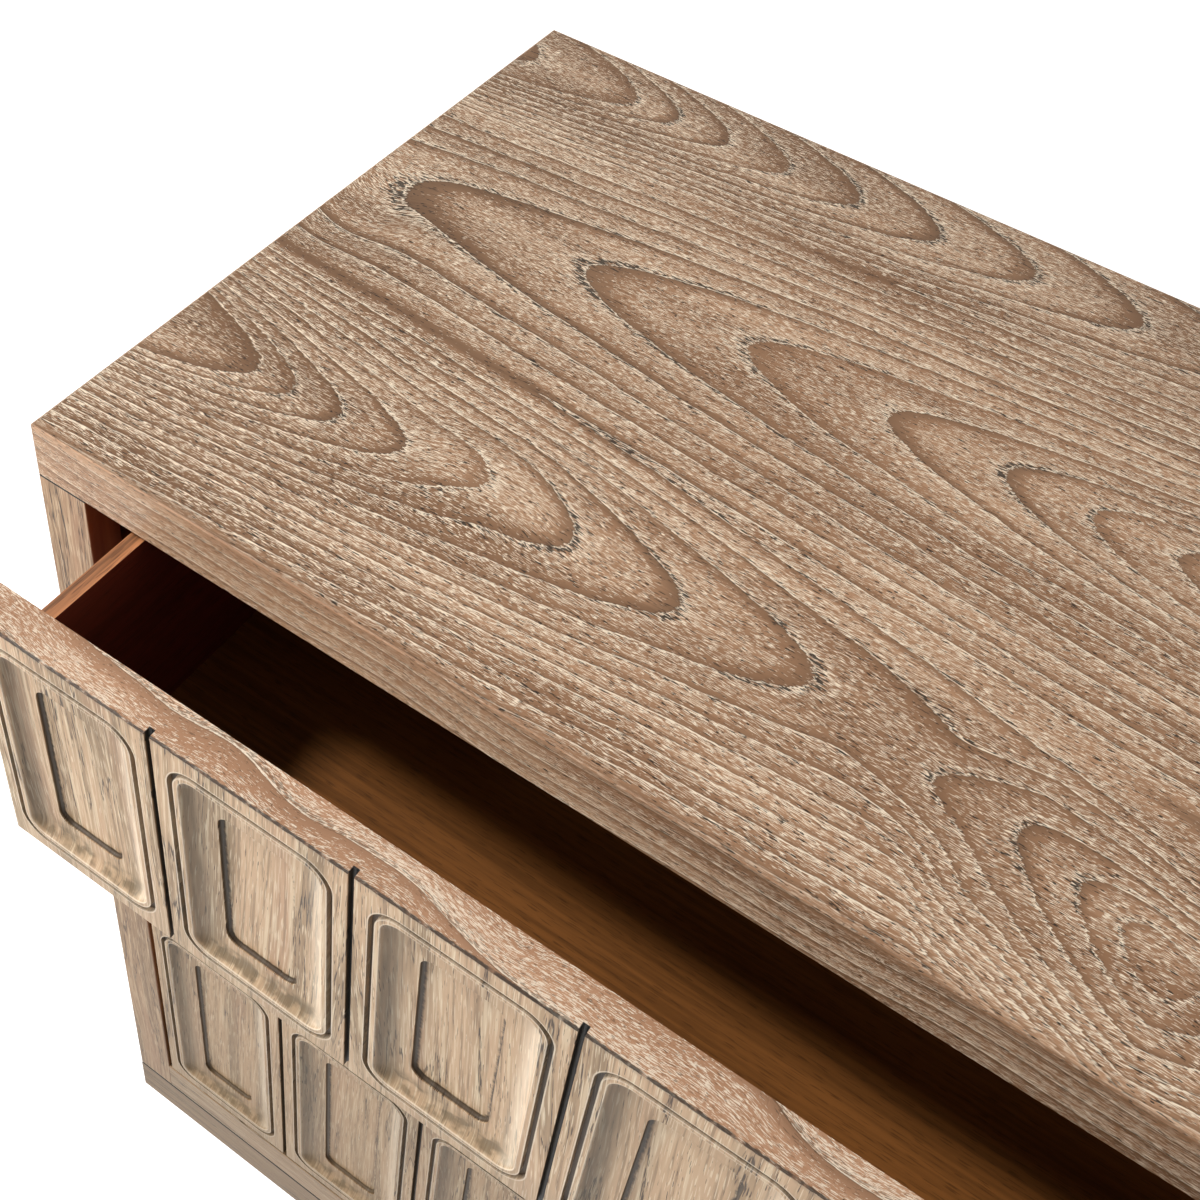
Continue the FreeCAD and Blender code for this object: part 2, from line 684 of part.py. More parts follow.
pieces = make_top() + make_plinth() + make_sides() + make_back() + make_frame()
for drawer_name, drawer_shift in DRAWERS:
    pieces += make_slides(drawer_name, drawer_shift)
    pieces.append(make_front(drawer_name, drawer_shift))
    pieces += make_box(drawer_name, drawer_shift)
doc.recompute()

for item in doc.Objects:
    if "Invalid" in item.State or "Error" in item.State:
        raise RuntimeError(f"{item.Label} failed to recompute: {item.State}")
for piece in pieces:
    if piece.Shape.isNull() or not piece.Shape.isValid():
        raise RuntimeError(f"{piece.Label} has no valid shape")

os.makedirs("parts", exist_ok=True)
for piece in pieces:
    piece.Shape.exportStep(f"parts/{piece.Label}.step")
print(len(pieces), "nodes written")
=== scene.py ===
import bpy
from functools import cached_property
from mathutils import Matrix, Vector


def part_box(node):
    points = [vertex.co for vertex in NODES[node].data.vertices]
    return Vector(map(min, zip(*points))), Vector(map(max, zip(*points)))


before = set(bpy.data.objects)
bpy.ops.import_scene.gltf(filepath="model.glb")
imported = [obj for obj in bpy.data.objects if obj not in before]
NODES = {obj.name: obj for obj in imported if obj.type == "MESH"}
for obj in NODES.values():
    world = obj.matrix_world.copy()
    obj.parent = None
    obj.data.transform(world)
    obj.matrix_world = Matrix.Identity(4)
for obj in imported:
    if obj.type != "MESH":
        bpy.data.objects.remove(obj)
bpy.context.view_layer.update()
scene = bpy.context.scene

# Places on the solids, in metres, that the materials line up with.
TOP_LOW, TOP_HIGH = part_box("top_panel")
PLINTH_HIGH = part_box("plinth_front")[1].z
PANEL_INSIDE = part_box("right_side_panel")[0].x
STILE_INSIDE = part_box("right_stile")[0].x

# Carving of the fronts in metres, repeated from the solids.
PITCH, BLOCK = 0.1206, 0.117
PARTING_DEPTH = 0.0042
QUIRK_SIDE, QUIRK_TOP, QUIRK_BOTTOM = 0.0084, 0.0123, 0.0093
QUIRK_WIDTH, QUIRK_RADIUS = 0.0033, 0.018
BAND = 0.0032
RECESS_INSET, RECESS_RADIUS = 0.0265, 0.009

# Distances in metres from an edge or a joint: where the edge's own grain and the joint's painted shadow line
# start to show, and where they are whole.
EDGE_SKIN = (0.0012, 0.0006)
JOINT_LINE = (0.0011, 0.0006)


# Shader building -------------------------------------------------------------


class Value:
    """A number that varies over a surface, with arithmetic that adds nodes."""

    def __init__(self, graph, socket):
        self.graph = graph
        self.socket = socket

    def _with(self, operation, *others):
        return self.graph.math(operation, self, *others)

    def __add__(self, other):
        return self._with("ADD", other)

    def __sub__(self, other):
        return self._with("SUBTRACT", other)

    def __mul__(self, other):
        return self._with("MULTIPLY", other)

    def __truediv__(self, other):
        return self._with("DIVIDE", other)

    def __rsub__(self, other):
        return self.graph.math("SUBTRACT", other, self)

    def __rtruediv__(self, other):
        return self.graph.math("DIVIDE", other, self)

    def __neg__(self):
        return self.graph.math("SUBTRACT", 0.0, self)

    __radd__ = __add__
    __rmul__ = __mul__

    def abs(self):
        return self._with("ABSOLUTE")

    def root(self):
        return self._with("SQRT")

    def floor(self):
        return self._with("FLOOR")

    def fract(self):
        return self._with("FRACT")

    def squared(self):
        return self._with("POWER", 2.0)

    def low(self, other):
        return self._with("MINIMUM", other)

    def high(self, other):
        return self._with("MAXIMUM", other)

    def soft_low(self, other, reach):
        return self._with("SMOOTH_MIN", other, reach)

    def step(self, start, end):
        """0 before start, 1 after end, and smooth between; start may be the larger."""
        return self.graph.ramp(self, start, end)


class Graph:
    """The nodes of a material or of the world."""

    def __init__(self, owner):
        owner.use_nodes = True
        self.owner = owner
        self.tree = owner.node_tree
        self.tree.nodes.clear()

    @cached_property
    def place(self):
        """Coordinates of the shaded point, in metres."""
        return self.split(self.node("ShaderNodeTexCoord").outputs["Object"])

    def node(self, kind, **settings):
        made = self.tree.nodes.new(kind)
        for name, value in settings.items():
            setattr(made, name, value)
        return made

    def feed(self, socket, value):
        if isinstance(value, Value):
            self.tree.links.new(value.socket, socket)
        elif isinstance(value, bpy.types.NodeSocket):
            self.tree.links.new(value, socket)
        else:
            socket.default_value = value

    def math(self, operation, *values):
        made = self.node("ShaderNodeMath", operation=operation)
        for socket, value in zip(made.inputs, values):
            self.feed(socket, value)
        return Value(self, made.outputs[0])

    def ramp(self, value, start, end):
        made = self.node("ShaderNodeMapRange", interpolation_type="SMOOTHSTEP")
        for name, given in (("Value", value), ("From Min", start), ("From Max", end)):
            self.feed(made.inputs[name], given)
        return Value(self, made.outputs[0])

    def split(self, vector):
        made = self.node("ShaderNodeSeparateXYZ")
        self.feed(made.inputs[0], vector)
        return [Value(self, part) for part in made.outputs]

    def noise(self, x, y, z, detail=0.0):
        place = self.node("ShaderNodeCombineXYZ")
        for socket, value in zip(place.inputs, (x, y, z)):
            self.feed(socket, value)
        made = self.node("ShaderNodeTexNoise")
        self.feed(made.inputs["Vector"], place.outputs[0])
        made.inputs["Scale"].default_value = 1.0
        made.inputs["Detail"].default_value = detail
        return Value(self, made.outputs[0])

    def random(self, value):
        """A number from 0 to 1 for each whole value."""
        made = self.node("ShaderNodeTexWhiteNoise", noise_dimensions="1D")
        self.feed(made.inputs["W"], value)
        return Value(self, made.outputs[0])

    def mix(self, amount, first, second):
        made = self.node("ShaderNodeMix", data_type="RGBA")
        self.feed(made.inputs[0], amount)
        for socket, value in ((made.inputs[6], first), (made.inputs[7], second)):
            self.feed(socket, (*value, 1.0) if isinstance(value, tuple) else value)
        return made.outputs[2]

    def finish(self, shade, roughness, height, bump, depth=0.0004, specular=0.3, metallic=0.0):
        """The finished material: height runs from 0 to 1 over depth metres, and bump is how much it shows."""
        shader = self.node("ShaderNodeBsdfPrincipled")
        self.feed(shader.inputs["Base Color"], shade)
        self.feed(shader.inputs["Roughness"], roughness)
        self.feed(shader.inputs["Specular IOR Level"], specular)
        self.feed(shader.inputs["Metallic"], metallic)
        relief = self.node("ShaderNodeBump")
        self.feed(relief.inputs["Strength"], bump)
        self.feed(relief.inputs["Distance"], depth)
        self.feed(relief.inputs["Height"], height)
        self.feed(shader.inputs["Normal"], relief.outputs[0])
        return self.end("ShaderNodeOutputMaterial", shader.outputs[0])

    def end(self, kind, surface):
        """Make surface the look of the material or world, and give that back."""
        self.feed(self.node(kind).inputs[0], surface)
        return self.owner


def colour(red, green, blue, share=1.0):
    """A share of a colour written as it shows on a screen, 0 to 255, for the shader."""
    return tuple((part * share / 255) ** 2.2 for part in (red, green, blue))


def length(first, second):
    """Length of a line whose two legs, at right angles, are given."""
    return (first.squared() + second.squared()).root()


# Wood ------------------------------------------------------------------------


def bowl(offset, over, under):
    """Rise of a parabola away from its axis, steeper or flatter on either side."""
    return offset.high(0.0).squared() * over + offset.low(0.0).abs().squared() * under


def flame(reach, scale, start, base, turn, gap):
    """Ring number along nested flames, in millimetres.

    The tips of the rings are gap apart before turn, and draw apart beyond it.
    """
    return (reach.high(turn) + start).root() * scale + base + (reach - turn).low(0.0) / gap


# Axes of the four flames on the top, in millimetres from its middle, and the middle of the closed one.
LEFT_AXIS, MIDDLE_AXIS, BACK_AXIS, EYE_AXIS = -108, 84, 252, -122
EYE_MIDDLE = 127


def top_figure(x, y):
    """Ring number over the top, x and y in millimetres: four flames that meet in straight grain."""
    reach = x + bowl(y - LEFT_AXIS, over=0.062, under=0.085)
    left = flame(reach, scale=0.503, start=420, base=-1.615, turn=-393, gap=90)
    reach = bowl(y - MIDDLE_AXIS, over=0.09, under=0.056) - x
    middle = flame(reach, scale=0.3175, start=60, base=0.0, turn=-23, gap=48)
    reach = x + bowl(y - BACK_AXIS, over=0.042, under=0.085)
    back = flame(reach, scale=0.575, start=440, base=-2.98, turn=-365, gap=80)

    # The last one is closed at both ends, an eye, and its rings sag to the right and crowd at the front.
    drop = y - EYE_AXIS + (x - 60).high(0.0).low(70.0) * 0.35
    away = ((x - EYE_MIDDLE).squared() + 150).root() - 139
    reach = away + bowl(drop, over=0.075, under=0.035 + 0.1 * x.step(60.0, 0.0))
    crowd = (-drop - 40).high(0.0).squared() * 0.2
    eye = flame(reach + crowd, scale=0.44, start=128, base=3.55, turn=-120, gap=20)
    return left.soft_low(middle, 1.2).soft_low(back, 1.2).soft_low(eye, 0.5)


def plank(gap, lean, bow):
    """Ring number of nearly straight grain, its rings gap millimetres apart."""
    return lambda u, v: (v + u * lean + u.squared() * bow) / gap


MINOR_LINES = 2.37  # faint lines to each ring, where the rings are tight


def cerused(g, along, across, deep, tone, figure, seed=0.0, fill=1.0, pore=1.0, reach=1.0, more=0.0):
    """Open-pored wood with lime in its pores: colour and relief.

    along runs with the grain, across and deep run over it, in metres. figure gives the
    ring number at u along and v across, in millimetres. Outward, a ring starts with a line
    of lime and open pores, and ends in smooth, darker late wood. tone holds the colours of
    light and dark wood, lime and dark pores. fill is how well the lime fills the pores,
    pore how dark the others are, reach how long they are, and more adds to the limed ones.
    """
    light, dusk, lime, soot = tone
    run = along / reach

    # Pores, dark pores, fine lines, patches and the jags of a ring's edge, all drawn out along the grain.
    fleck = g.noise(run * 220, across * 2600, deep * 2600 + seed, detail=1.0)
    speck = g.noise(run * 210, across * 1400, deep * 1400 + seed + 7.7, detail=1.0)
    line = g.noise(run * 14, across * 620, deep * 620 + seed + 3.1, detail=1.0) - 0.5
    patch = g.noise(run * 5, across * 30, deep * 30 + seed, detail=2.0) - 0.5
    jag = g.noise(run * 90, across * 1300, deep * 1300 + seed, detail=1.0) - 0.5

    # Width of the ring and how far the place is from its start and its end, in millimetres.
    u = along * 1000 + jag * 8
    v = across * 1000
    rings = figure(u, v)
    slope = length(figure(u + 1, v) - rings, figure(u, v + 1) - rings)
    spacing = (1 / slope.high(0.005)).low(70.0)
    outward = rings.fract() * spacing
    inward = spacing - outward
    tight = spacing.step(26.0, 12.0)

    # The open-pored band and limed rim that start a ring, and the smooth wood and dark seam that end it.
    strength = g.random(rings.floor() + seed)
    band = 0.8 + spacing * 0.09
    zone = (outward / band).step(2.6, 0.2)
    core = (outward / band).step(1.2, 0.4) * (0.35 + 0.65 * strength) * (1.0 - 0.45 * tight)
    rim = (outward - 0.4).abs().step(0.45, 0.15) * (line + (fleck - 0.5) + 0.22).step(0.03, 0.2)
    late = (inward / (spacing * 0.45)).step(1.0, 0.0)
    presence = (0.35 + 0.65 * strength) * (0.7 + 0.3 * (patch + 0.5).step(0.3, 0.6))
    shadow = (inward / (1.2 + spacing * 0.24)).step(1.0, 0.0) * presence * (1.0 - 0.38 * tight)
    seam = (inward / 0.8).step(1.0, 0.0) * presence * (1.0 - 0.58 * tight)

    # Where the rings are tight, fainter lines between them: a limed hair, and darker wood after it.
    width = spacing / MINOR_LINES
    minor = (rings * MINOR_LINES + 0.3).fract() * spacing / MINOR_LINES
    hair = minor.step(0.9, 0.3) * tight * (line + patch + 1.2 * (fleck - 0.5)).step(0.02, 0.14)
    gloom = minor.step(1.6, 3.2) * minor.step(width - 0.1, width - 1.2) * tight

    # Pores filled with lime, pores left dark, and the wood between them.
    limed = fleck + 0.075 * zone - 0.06 * late - 0.16 * shadow + 0.1 * patch + 0.06 * line
    cream = limed.step(0.572 - more, 0.59 - more) * fill
    cream = cream.high(hair * 0.4 * fill)
    dark = (speck + 0.23 * core - 0.12 * line).step(0.65, 0.68) * pore
    body = g.mix((patch + 0.5).step(0.32, 0.68) * (1.0 - 0.5 * late), dusk, light)
    body = g.mix((-line).step(0.03, 0.14) * 0.55 + 0.25 * gloom, body, dusk)
    body = g.mix((shadow * 0.42 + seam * 0.45).low(0.85), body, soot)
    shade = g.mix(cream * 0.88, body, lime)
    shade = g.mix(dark * 0.92, shade, soot)
    shade = g.mix(rim * fill * 0.8, shade, lime)
    return shade, -0.4 * cream - dark - 0.3 * shadow - 0.5 * seam


def top_wood():
    g = Graph(bpy.data.materials.new("cerused_top"))
    x, y, z = g.place

    # A coordinate that runs over the face from back to front and goes on down the front edge.
    level = y + z - TOP_HIGH.z
    wave = g.noise(x * 6, level * 11, 0.3, detail=1.0) - 0.5
    ripple = g.noise(x * 28, level * 55, 5.1, detail=2.0) - 0.5

    def swell(right, back, width, depth):
        """A smooth rise to 1 at a place on the face, width and depth metres in size."""
        distance = ((x - right) / width).squared() + ((level - back) / depth).squared()
        return 1 / (1 + distance.squared())

    bend = 0.015 * swell(-0.437, 0.04, 0.03, 0.037) - 0.009 * swell(-0.247, -0.098, 0.045, 0.03)
    figured = level + 0.008 * wave + 0.003 * ripple + bend

    # The long edges show the layers of the board, and the sawn ends arcs around the pith above it.
    edge = (y - TOP_LOW.y).low(TOP_HIGH.y - y).step(*EDGE_SKIN)
    sawn = (TOP_HIGH.x - x.abs()).step(*EDGE_SKIN)
    strip = z + 0.05 * (g.noise(x * 5, y * 5, 1.7, detail=1.0) - 0.5)
    pith = length(y - 0.05, z - TOP_HIGH.z - 0.07)
    across = figured + (strip - figured) * edge
    across = across + (pith - across) * sawn

    def figure(u, v):
        """The flames on the face, straight grain on the long edges and arcs on the ends."""
        rings = top_figure(u, v)
        rings = rings + (plank(11.0, 0.012, 0.00003)(u, v) - rings) * edge
        return rings + (v / 5.0 - rings) * sawn

    # Painted shade: the face darker toward its left end and its back, its edges darker toward the right.
    inward = x.step(-0.42, -0.08) * (1.0 - 0.9 * y.step(0.12, 0.29))
    rightward_painted_shade = x.step(-0.3, 0.12) * 0.8 + sawn * 0.2
    side = edge.high(sawn)

    def wood(rim, middle, left, right):
        """Colour on the face, from its rim to its middle, and from left to right on its edges: painted shade
        darkens the rim at the face's left end and back, and the edges toward the right.
        """
        face = g.mix(inward, colour(*rim), colour(*middle))
        return g.mix(side, face, g.mix(rightward_painted_shade, colour(*left), colour(*right)))

    light = wood(rim=(160, 123, 94), middle=(187, 145, 112), left=(204, 162, 127), right=(146, 107, 77))
    dusk = wood(rim=(124, 92, 67), middle=(144, 107, 79), left=(164, 124, 94), right=(104, 74, 51))
    tone = (light, dusk, colour(252, 233, 206), colour(40, 29, 17))

    # The lime is rubbed off the front arris.
    arris = length(y - TOP_LOW.y, z - TOP_HIGH.z)
    eased = 0.35 + 0.65 * arris.step(0.002, 0.009)
    shade, height = cerused(g, x, across, z, tone, figure, fill=eased * (1.0 - 0.25 * edge))
    return g.finish(shade, 0.55, height, bump=0.35)


def glazed(g, along, across, deep, seed, tone):
    """Pale, brushed wood with a wiped glaze: soft olive streaks, cream lines and a few open pores."""

    def toned(*parts):
        """A colour, its three parts scaled by tone."""
        return colour(*(part * share for part, share in zip(parts, tone)))

    pale = toned(202, 168, 136)
    olive = toned(146, 120, 91)
    rose = toned(184, 140, 112)
    ivory = toned(232, 210, 180)
    umber = toned(116, 90, 66)
    lime = toned(240, 222, 196)
    soot = toned(56, 38, 23)
    broad = g.noise(along * 5, across * 70, deep * 20 + seed, detail=2.0)
    fine = g.noise(along * 14, across * 480, deep * 20 + seed, detail=2.0)
    fleck = g.noise(along * 60, across * 1700, deep * 60 + seed + 5.3)
    pore = g.noise(along * 70, across * 1700, deep * 60 + seed + 9.1, detail=1.0)
    column = g.noise(along * 3, across * 45, deep * 20 + seed + 3.7, detail=1.0) - 0.5
    shade = g.mix(broad.step(0.4, 0.68) * 0.85, pale, olive)
    shade = g.mix(column.step(0.02, 0.2) * 0.4, shade, rose)
    shade = g.mix(fine.step(0.52, 0.68) * 0.6, shade, ivory)
    shade = g.mix(fine.step(0.46, 0.34) * 0.5, shade, umber)
    cream = (fleck + 0.1 * column).step(0.63, 0.7)
    crack = (broad - 0.56 - 0.07 * (fine - 0.5)).abs().step(0.014, 0.005)
    crack = crack * (pore - 0.35 * column).step(0.47, 0.54)
    dark = (pore - 0.3 * column).step(0.7, 0.73).high(crack)
    shade = g.mix(cream * 0.6, shade, lime)
    shade = g.mix(dark * 0.9, shade, soot)
    return shade, 0.4 * fine - dark


def sheet(*hearts):
    """Ring number of a veneered sheet: one pointed flame over each of the hearts, in millimetres."""

    def figure(u, v):
        rings = None
        for heart in hearts:
            reach = u + bowl(v - heart, over=0.034, under=0.045) + heart
            other = flame(reach, scale=0.46, start=900, base=0.0, turn=-600, gap=40)
            rings = other if rings is None else rings.soft_low(other, 0.8)
        return rings

    return figure


def lined(g, shade, inside, seed):
    """Orange-brown stain on what lies nearer the chest's middle plane than inside."""
    x, y, z = g.place
    grain = g.noise(x * 90, y * 90, z * 7 + seed, detail=2.0)
    stain = g.mix(grain.step(0.3, 0.7), colour(112, 66, 34), colour(158, 100, 56))
    return g.mix(x.abs().step(inside + 0.0008, inside + 0.0002), shade, stain)


def jointed(g, shade):
    """Painted shade darker toward the foot, and the dark lines of the joints under the top and over the
    plinth, painted as the shadow in their thin gaps.
    """
    z = g.place[2]
    shade = g.mix(z.step(0.5, 0.0) * 0.5, shade, colour(100, 80, 54))
    gap = (z - TOP_LOW.z).abs().low((z - PLINTH_HIGH).abs())
    return g.mix(gap.step(*JOINT_LINE), shade, colour(22, 17, 12))


def case_wood(name, seed, tone, figure, fill=0.7, inside=None):
    """Veneer of the sides and the back, its grain upright, stained nearer the middle than inside."""
    g = Graph(bpy.data.materials.new(name))
    x, y, z = g.place
    drift = g.noise(z * 4, x * 14, y * 14 + seed, detail=2.0) - 0.5
    shade, height = cerused(g, z, x + y + 0.03 * drift, y, tone, figure, fill=fill, seed=seed)
    if inside:
        shade = lined(g, shade, inside, seed)
    return g.finish(jointed(g, shade), 0.55, height, bump=0.3)


def frame_wood(name, along, seed, tone, inside=None):
    """Brushed wood of the face frame and the plinth, stained nearer the middle than inside."""
    g = Graph(bpy.data.materials.new(name))
    x, y, z = g.place
    run, wide, deep = {"x": (x, z, y), "y": (y, z, x), "z": (z, x, y)}[along]
    drift = g.noise(run * 4, wide * 14, deep * 14 + seed, detail=1.0) - 0.5
    shade, height = glazed(g, run, wide + 0.5 * deep + 0.02 * drift, deep, seed, tone)
    if inside:
        shade = lined(g, shade, inside, seed)
    return g.finish(jointed(g, shade), 0.5, height, bump=0.25)


def rounded(across, upright, half_width, half_height, radius):
    """Signed distance to a rounded rectangle about the origin, negative inside it."""
    right = across.abs() - (half_width - radius)
    head = upright.abs() - (half_height - radius)
    return length(right.high(0.0), head.high(0.0)) + right.high(head).low(0.0) - radius


def upper_edge(g, seed):
    """Colour of the limed wood on the upper edge of a drawer front."""
    x, y, z = g.place
    tone = (colour(192, 148, 116), colour(166, 124, 94), colour(250, 234, 210), colour(74, 56, 40))
    curl = g.noise(x * 8, y * 14, seed, detail=1.0) - 0.5
    drift = g.noise(x * 16, y * 55, seed + 6.0, detail=1.0) - 0.5
    across = y * 1.2 + 0.045 * curl
    more = 0.025 + 0.16 * drift
    grain = plank(36.0, 0.1, 0.0)
    return cerused(g, x, across, z, tone, grain, seed + 2.0, fill=0.8, pore=0.6, reach=0.7, more=more)[0]


def front_wood(node, seed, tone):
    """A carved drawer front: pale wood with dark glaze left in its grooves, and painted shade and highlight
    on its carving, in its parting grooves and toward the floor.
    """
    low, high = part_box(node)
    g = Graph(bpy.data.materials.new(node))
    x, y, z = g.place
    height = high.z - low.z
    bare = colour(184, 158, 128)
    lime = colour(242, 226, 202)
    grey = colour(104, 96, 86)
    low_painted_shade = colour(104, 84, 58)
    olive = colour(88, 75, 54)
    glaze = colour(52, 41, 29)
    wear = colour(34, 28, 22)
    black_glaze_and_shade = colour(6, 5, 4)

    # Place on a block, from the middle of its carving, and distances to the quirk and the sunk panel.
    place = (x - low.x) / PITCH
    block = place.floor()
    across = place.fract() * PITCH - BLOCK / 2
    upright = z - (low.z + (height + QUIRK_BOTTOM - QUIRK_TOP) / 2)
    depth = y - low.y
    half_width = BLOCK / 2 - QUIRK_SIDE
    half_height = (height - QUIRK_TOP - QUIRK_BOTTOM) / 2
    rim = rounded(across, upright, half_width, half_height, QUIRK_RADIUS)
    well = rounded(across, upright, half_width - RECESS_INSET, half_height - RECESS_INSET, RECESS_RADIUS)
    band = rim + QUIRK_WIDTH
    cove = band + BAND
    foot = upright + half_height

    # The wood, in another piece of grain for each block, and quieter on the slope at a block's foot.
    own = g.random(block + seed)
    ragged = g.noise(x * 260, depth * 260, z * 260 + seed, detail=2.0) - 0.5
    streak = g.noise(x * 420, seed, z * 28, detail=2.0) - 0.5
    sway = g.noise(x * 14, seed, z * 4 + 5 * own, detail=1.0) - 0.5
    grain = x + 0.012 * sway + (own - 0.5) * 0.14 * upright + own
    shade, relief = glazed(g, upright, grain, y, seed, tone)
    sill = foot.step(0.028, 0.014)
    shade = g.mix(sill * 0.45, shade, bare)
    relief = relief * (1.0 - 0.75 * sill)

    # Cove: painted shade in olive on its left, olive glaze with scuffs at its foot, and a painted highlight
    # in lime on its right.
    slope = cove.step(0.0, -0.002)
    blotch = g.noise(x * 110, depth * 60, z * 110 + seed, detail=3.0)
    shaded = (across + half_width).step(0.026, 0.011) * (0.75 + 0.9 * streak)
    scuffed = foot.step(0.026, 0.014) * blotch.step(0.4, 0.62) * 0.85
    # On the right slope, a painted highlight in lime.
    limed = (half_width - across).step(0.021, 0.011) * (0.75 + 0.9 * streak)
    shade = g.mix(shaded.high(scuffed) * slope * 0.8, shade, olive)
    shade = g.mix(limed * slope * 0.55, shade, lime)

    # Dark glaze in the quirk; dark glaze and painted shade around the foot of the sunk panel's wall; and pale
    # arrises worn along the quirk.
    ditch = (rim + 0.0008 * ragged).step(0.0003, -0.0003) * band.step(-0.0005, 0.0005)
    sunk = (well.abs() + 0.0035 * ragged).step(0.0032, 0.0012) * depth.step(0.0046, 0.006)
    worn = (rim - 0.0004).abs().low((band + 0.0004).abs()).low(cove.abs())
    worn = (worn + 0.0004 * ragged).step(0.0006, 0.0001)
    shade = g.mix(ditch * 0.85, shade, glaze)
    shade = g.mix(sunk * 0.92, shade, glaze)
    shade = g.mix(worn * 0.6, shade, lime)

    # Upper edge: greyed below it, with a dark arris rubbed through in places.
    tired = (high.z - z).step(0.005, 0.0) * (ragged + streak).step(-0.2, 0.25)
    upper = z.step(high.z - 0.0016, high.z - 0.0006)
    arris = length(high.z - z, depth) + 0.0016 * ragged
    arris = arris.step(0.0015, 0.0008) * blotch.step(0.26, 0.5)
    shade = g.mix(tired * 0.4, shade, grey)
    shade = g.mix(upper, shade, upper_edge(g, seed))
    shade = g.mix(arris * 0.9, shade, wear)

    # Nearly black inside the parting grooves, dark glaze and painted shade of their depth, and painted shade
    # darker toward the floor.
    inside = depth.step(0.0003, 0.0012) * depth.step(PARTING_DEPTH + 0.0005, PARTING_DEPTH + 0.0001)
    parting = across.step(BLOCK / 2 - 0.0005, BLOCK / 2 + 0.0001) * inside
    shade = g.mix(parting, shade, black_glaze_and_shade)
    shade = g.mix(z.step(0.55, 0.0) * 0.42, shade, low_painted_shade)
    return g.finish(shade, 0.5, relief, bump=0.28)


def stained(name, along, tint, seed=0.0, edge=None):
    """Stained and lacquered wood inside the chest, with painted light making its upper edges, the faces that
    look up, paler if edge is given.
    """
    g = Graph(bpy.data.materials.new(name))
    x, y, z = g.place
    run, wide = (x, y) if along == "x" else (y, x)
    grain = g.noise(run * 9, wide * 320, z * 320 + seed, detail=2.0)
    broad = g.noise(run * 3, wide * 25, z * 25 + seed, detail=2.0)
    pore = g.noise(run * 90, wide * 1500, z * 1500 + seed)
    shade = g.mix(grain.step(0.3, 0.7), colour(*tint, share=0.8), colour(*tint))
    shade = g.mix(broad.step(0.35, 0.75) * 0.5, shade, colour(*tint, share=1.15))
    if edge:
        # Painted light: faces that look up are paler.
        upward = g.split(g.node("ShaderNodeNewGeometry").outputs["True Normal"])[2]
        pale = g.mix(grain.step(0.35, 0.65), colour(*edge, share=0.62), colour(*edge))
        shade = g.mix(upward.step(0.6, 0.9), shade, pale)
    shade = g.mix(pore.step(0.62, 0.72) * 0.5, shade, colour(*tint, share=0.5))
    return g.finish(shade, 0.35, grain - pore.step(0.6, 0.7), bump=0.12, depth=0.0003, specular=0.4)


def plated_steel():
    g = Graph(bpy.data.materials.new("plated_steel"))
    x, y, z = g.place
    brushed = g.noise(x * 2000, y * 25, z * 2000, detail=1.0)
    cloud = g.noise(x * 30, y * 30, z * 30, detail=2.0)
    shade = g.mix(cloud.step(0.35, 0.7), colour(166, 169, 172), colour(190, 192, 194))
    gloss = {"depth": 0.0002, "specular": 0.5, "metallic": 1.0}
    return g.finish(shade, 0.28 + 0.16 * brushed, brushed, bump=0.1, **gloss)


def assign(material, node):
    slots = node.data.materials
    slots.clear()
    slots.append(material)


# Colours of light and dark wood, lime and dark pores.
OAK = (colour(174, 142, 111), colour(148, 116, 87), colour(224, 198, 166), colour(58, 45, 32))
GREYED = (colour(136, 115, 90), colour(110, 91, 69), colour(174, 154, 127), colour(44, 35, 26))

# Shares of red, green and blue in glazed wood. The plinth's smaller shares, and the middle and bottom
# fronts', are painted shade low on the chest.
STILE_TONE = (0.92, 0.88, 0.83)
RAIL_TONE = (0.9, 0.89, 0.86)
PLINTH_TONE = (0.71, 0.68, 0.62)
FRONTS = {
    "top_drawer_front": (0.0, (1.0, 1.0, 0.98)),
    "middle_drawer_front": (11.0, (0.95, 0.94, 0.9)),
    "bottom_drawer_front": (23.0, (0.94, 0.93, 0.89)),
}

# Stains inside the chest, as they show on a screen, and the painted light on the drawer sides' upper edges.
INNER_TINT = (126, 78, 48)
DRAWER_TINT, DRAWER_PAINTED_LIGHT_TINT = (120, 56, 44), (186, 124, 82)
DRAWER_FLOOR_TINT = (143, 91, 47)

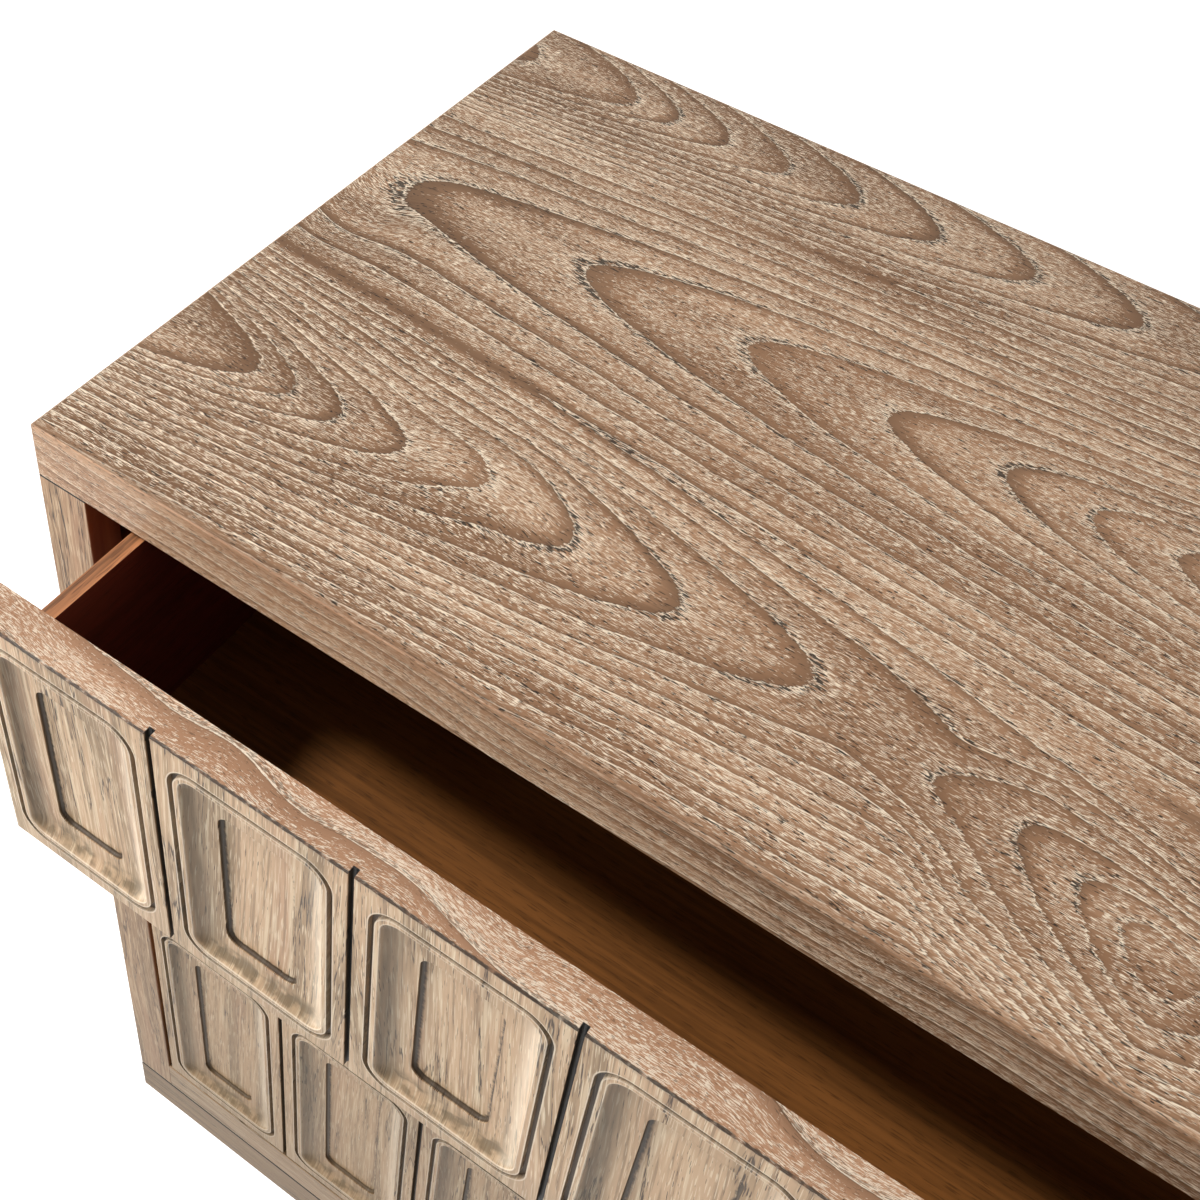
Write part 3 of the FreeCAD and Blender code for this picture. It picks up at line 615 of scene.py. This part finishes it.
# Each material and the ends of the names of the nodes it is for.
LOOKS = (
    (top_wood(), ("top_panel",)),
    (case_wood("left_side_wood", 2.2, OAK, sheet(-430.0), inside=PANEL_INSIDE), ("left_side_panel",)),
    (case_wood("right_side_wood", 5.9, OAK, sheet(470.0, 720.0), inside=PANEL_INSIDE), ("right_side_panel",)),
    (case_wood("back_wood", 7.1, GREYED, sheet(-180.0, 120.0, 560.0), fill=0.35), ("back_panel",)),
    (frame_wood("stile_wood", "z", 1.3, STILE_TONE, inside=STILE_INSIDE), ("stile",)),
    (frame_wood("rail_wood", "x", 4.7, RAIL_TONE), ("bottom_rail",)),
    (frame_wood("plinth_wood", "x", 8.3, PLINTH_TONE), ("plinth_front", "plinth_back")),
    (frame_wood("plinth_side_wood", "y", 9.6, PLINTH_TONE), ("plinth_left", "plinth_right")),
    (
        stained("inner_sideways", "x", INNER_TINT),
        ("divider_rail", "back_top_cleat", "case_floor", "plinth_glue_blocks"),
    ),
    (stained("inner_inward", "y", INNER_TINT, 2.0), ("runner", "left_top_cleat", "right_top_cleat")),
    (
        stained("drawer_side", "y", DRAWER_TINT, 3.0, edge=DRAWER_PAINTED_LIGHT_TINT),
        ("drawer_left_side", "drawer_right_side"),
    ),
    (stained("drawer_floor", "x", DRAWER_FLOOR_TINT, 5.0), ("drawer_bottom", "drawer_back")),
    (plated_steel(), ("member", "back_panel_screws")),
)
for name, node in NODES.items():
    if name in FRONTS:
        assign(front_wood(name, *FRONTS[name]), node)
    else:
        assign(next(material for material, ends in LOOKS if name.endswith(ends)), node)


# Floor, light and camera -------------------------------------------------------


def seen_white(g, strength):
    """White light of the given strength for the camera, glossy and transmitted rays."""
    path = g.node("ShaderNodeLightPath").outputs
    seen = Value(g, path["Is Camera Ray"])
    for kind in ("Is Glossy Ray", "Is Transmission Ray"):
        seen = seen + Value(g, path[kind])
    return seen * strength


def make_floor():
    """A dull floor that shows as white."""
    half = 30.0
    corners = [(-half, -half, 0), (half, -half, 0), (half, half, 0), (-half, half, 0)]
    mesh = bpy.data.meshes.new("floor")
    mesh.from_pydata(corners, [], [(0, 1, 2, 3)])
    floor = bpy.data.objects.new("floor", mesh)
    scene.collection.objects.link(floor)
    g = Graph(bpy.data.materials.new("floor"))
    dull = g.node("ShaderNodeBsdfDiffuse")
    g.feed(dull.inputs["Color"], (0.8, 0.8, 0.8, 1))
    glow = g.node("ShaderNodeEmission")
    g.feed(glow.inputs["Strength"], seen_white(g, 0.7))
    both = g.node("ShaderNodeAddShader")
    g.feed(both.inputs[0], dull.outputs[0])
    g.feed(both.inputs[1], glow.outputs[0])
    mesh.materials.append(g.end("ShaderNodeOutputMaterial", both.outputs[0]))


def make_world():
    """A dim white sky that shows as full white."""
    scene.world = bpy.data.worlds.new("world")
    g = Graph(scene.world)
    mix = g.node("ShaderNodeMixShader")
    g.feed(mix.inputs[0], seen_white(g, 1.0))
    for socket, strength in ((mix.inputs[1], 0.18), (mix.inputs[2], 1.0)):
        sky = g.node("ShaderNodeBackground")
        g.feed(sky.inputs["Color"], (1, 1, 1, 1))
        g.feed(sky.inputs["Strength"], strength)
        g.feed(socket, sky.outputs[0])
    g.end("ShaderNodeOutputWorld", mix.outputs[0])


def make_lamp(name, place, aim, side, watts):
    """A square lamp, in metres, turned to aim."""
    data = bpy.data.lights.new(name, "AREA")
    data.shape = "SQUARE"
    data.size = side
    data.energy = watts
    lamp = bpy.data.objects.new(name, data)
    scene.collection.objects.link(lamp)
    lamp.location = place
    lamp.rotation_mode = "QUATERNION"
    lamp.rotation_quaternion = (Vector(aim) - Vector(place)).to_track_quat("-Z", "Y")


def make_camera():
    """The camera whose view fits the chest's edges in the photo."""
    data = bpy.data.cameras.new("camera")
    data.sensor_width = 36.0
    data.lens = 48.406
    data.shift_x = 0.0568
    data.shift_y = -0.1980
    data.clip_start, data.clip_end = 0.01, 100.0
    camera = bpy.data.objects.new("camera", data)
    scene.collection.objects.link(camera)
    camera.location = (0.03501, -0.58581, 1.43022)
    camera.rotation_euler = (0.813724, -0.090238, 0.581728)
    scene.camera = camera


make_floor()
make_world()
make_lamp("key", place=(-1.55, -1.45, 1.45), aim=(-0.1, -0.2, 0.6), side=0.8, watts=27)
make_lamp("above", place=(-3.0, -1.2, 4.6), aim=(0.0, -0.1, 0.8), side=0.7, watts=165)
make_lamp("rear", place=(1.6, 1.3, 2.1), aim=(0.0, 0.0, 0.6), side=1.3, watts=4)
make_camera()
scene.view_settings.view_transform = "Standard"
